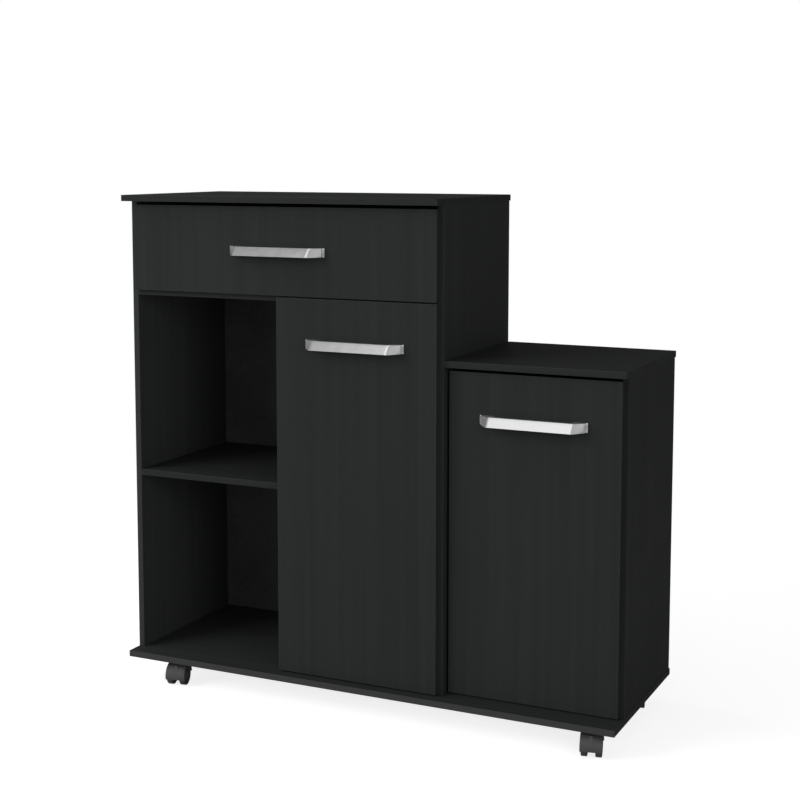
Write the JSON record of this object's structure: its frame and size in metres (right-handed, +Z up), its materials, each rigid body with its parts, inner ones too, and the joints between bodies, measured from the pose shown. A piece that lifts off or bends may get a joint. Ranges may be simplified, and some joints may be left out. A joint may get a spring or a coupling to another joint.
{
  "type": "microwave cabinet",
  "caption": "Black kitchen cabinet on casters with a tall section holding a wide drawer, an open niche and a cupboard, beside a lower cupboard with its own top.",
  "frame": {"origin": "on the floor, under the middle of the overall width and depth", "axes": "+X to the right seen from the front, +Y from the front to the back, +Z up"},
  "size_m": [1, 0.37, 0.966],
  "materials": {
    "black_board": "matte black melamine-faced particle board",
    "black_front": "matte black melamine-faced board with a faint upright grain",
    "thin_board": "painted hardboard",
    "support_plastic": "moulded black nylon",
    "runner_steel": "off-white powder coat",
    "hinge_steel": "nickel-plated pressed steel",
    "handle_silver": "satin silver",
    "plate_steel": "zinc-plated pressed steel",
    "roller_nylon": "moulded nylon",
    "caster_grey": "moulded dark grey nylon",
    "wheel_grey": "moulded dark grey nylon"
  },
  "bodies": {
    "cabinet": {"base_board": "black_board", "left_side_panel": "black_board", "centre_divider": "black_board", "shared_side_panel": "black_board", "right_side_panel": "black_board", "tall_top_board": "black_board", "low_top_board": "black_board", "drawer_deck_board": "black_board", "niche_shelf": "black_board", "cupboard_shelf": "black_board", "tall_back_panel": "thin_board", "low_back_panel": "thin_board", "shelf_supports": "support_plastic", "left_cabinet_runner": "runner_steel", "right_cabinet_runner": "runner_steel", "hinge_plates": "hinge_steel", "hinge_arms": "hinge_steel", "caster_plates": "plate_steel"},
    "drawer": {"drawer_front": "black_front", "drawer_left_side": "black_board", "drawer_right_side": "black_board", "drawer_back": "black_board", "drawer_bottom": "thin_board", "drawer_handle": "handle_silver", "left_drawer_runner": "runner_steel", "right_drawer_runner": "runner_steel"},
    "front_roller_pair": {"front_rollers": "roller_nylon"},
    "rear_roller_pair": {"rear_rollers": "roller_nylon"},
    "tall_door_assembly": {"tall_door": "black_front", "tall_door_handle": "handle_silver", "tall_door_hinge_cups": "hinge_steel", "tall_door_hinge_links": "hinge_steel"},
    "low_door_assembly": {"low_door": "black_front", "low_door_handle": "handle_silver", "low_door_hinge_cups": "hinge_steel", "low_door_hinge_links": "hinge_steel"},
    "front_left_caster": {"front_left_caster_hood": "caster_grey"},
    "front_left_left_wheel": {"front_left_caster_left_wheel": "wheel_grey"},
    "front_left_right_wheel": {"front_left_caster_right_wheel": "wheel_grey"},
    "front_right_caster": {"front_right_caster_hood": "caster_grey"},
    "front_right_left_wheel": {"front_right_caster_left_wheel": "wheel_grey"},
    "front_right_right_wheel": {"front_right_caster_right_wheel": "wheel_grey"},
    "rear_left_caster": {"rear_left_caster_hood": "caster_grey"},
    "rear_left_left_wheel": {"rear_left_caster_left_wheel": "wheel_grey"},
    "rear_left_right_wheel": {"rear_left_caster_right_wheel": "wheel_grey"},
    "rear_right_caster": {"rear_right_caster_hood": "caster_grey"},
    "rear_right_left_wheel": {"rear_right_caster_left_wheel": "wheel_grey"},
    "rear_right_right_wheel": {"rear_right_caster_right_wheel": "wheel_grey"}
  },
  "joints": [
    {"name": "drawer_slide", "type": "slide", "parent": "cabinet", "child": "drawer", "axis": [0, -1, 0], "range_m": [0, 0.225]},
    {"name": "front_rollers_spin", "type": "hinge", "parent": "cabinet", "child": "front_roller_pair", "pos_m": [0, -0.127, 0.8002], "axis": [1, 0, 0], "continuous": true},
    {"name": "rear_rollers_spin", "type": "hinge", "parent": "drawer", "child": "rear_roller_pair", "pos_m": [0, 0.15, 0.8002], "axis": [1, 0, 0], "continuous": true},
    {"name": "tall_door_hinge", "type": "hinge", "parent": "cabinet", "child": "tall_door_assembly", "pos_m": [0.1556, -0.1405, 0.422], "axis": [0, 0, 1], "range_deg": [0, 95]},
    {"name": "low_door_hinge", "type": "hinge", "parent": "cabinet", "child": "low_door_assembly", "pos_m": [0.49, -0.114, 0.3615], "axis": [0, 0, 1], "range_deg": [0, 95]},
    {"name": "front_left_caster_swivel", "type": "hinge", "parent": "cabinet", "child": "front_left_caster", "pos_m": [-0.405, -0.13, 0.045], "axis": [0, 0, 1], "continuous": true},
    {"name": "front_left_left_wheel_spin", "type": "hinge", "parent": "front_left_caster", "child": "front_left_left_wheel", "pos_m": [-0.40132, -0.1466, 0.02], "axis": [0.9763, 0.2164, 0], "continuous": true},
    {"name": "front_left_right_wheel_spin", "type": "hinge", "parent": "front_left_caster", "child": "front_left_right_wheel", "pos_m": [-0.40132, -0.1466, 0.02], "axis": [0.9763, 0.2164, 0], "continuous": true},
    {"name": "front_right_caster_swivel", "type": "hinge", "parent": "cabinet", "child": "front_right_caster", "pos_m": [0.448, -0.13, 0.045], "axis": [0, 0, 1], "continuous": true},
    {"name": "front_right_left_wheel_spin", "type": "hinge", "parent": "front_right_caster", "child": "front_right_left_wheel", "pos_m": [0.45168, -0.1466, 0.02], "axis": [0.9763, 0.2164, 0], "continuous": true},
    {"name": "front_right_right_wheel_spin", "type": "hinge", "parent": "front_right_caster", "child": "front_right_right_wheel", "pos_m": [0.45168, -0.1466, 0.02], "axis": [0.9763, 0.2164, 0], "continuous": true},
    {"name": "rear_left_caster_swivel", "type": "hinge", "parent": "cabinet", "child": "rear_left_caster", "pos_m": [-0.405, 0.135, 0.045], "axis": [0, 0, 1], "continuous": true},
    {"name": "rear_left_left_wheel_spin", "type": "hinge", "parent": "rear_left_caster", "child": "rear_left_left_wheel", "pos_m": [-0.40132, 0.1184, 0.02], "axis": [0.9763, 0.2164, 0], "continuous": true},
    {"name": "rear_left_right_wheel_spin", "type": "hinge", "parent": "rear_left_caster", "child": "rear_left_right_wheel", "pos_m": [-0.40132, 0.1184, 0.02], "axis": [0.9763, 0.2164, 0], "continuous": true},
    {"name": "rear_right_caster_swivel", "type": "hinge", "parent": "cabinet", "child": "rear_right_caster", "pos_m": [0.448, 0.135, 0.045], "axis": [0, 0, 1], "continuous": true},
    {"name": "rear_right_left_wheel_spin", "type": "hinge", "parent": "rear_right_caster", "child": "rear_right_left_wheel", "pos_m": [0.45168, 0.1184, 0.02], "axis": [0.9763, 0.2164, 0], "continuous": true},
    {"name": "rear_right_right_wheel_spin", "type": "hinge", "parent": "rear_right_caster", "child": "rear_right_right_wheel", "pos_m": [0.45168, 0.1184, 0.02], "axis": [0.9763, 0.2164, 0], "continuous": true}
  ],
  "couplings": [
    {"joint": "front_rollers_spin", "follows": "drawer_slide", "rad_per_m": 125},
    {"joint": "rear_rollers_spin", "follows": "drawer_slide", "rad_per_m": 125}
  ]
}
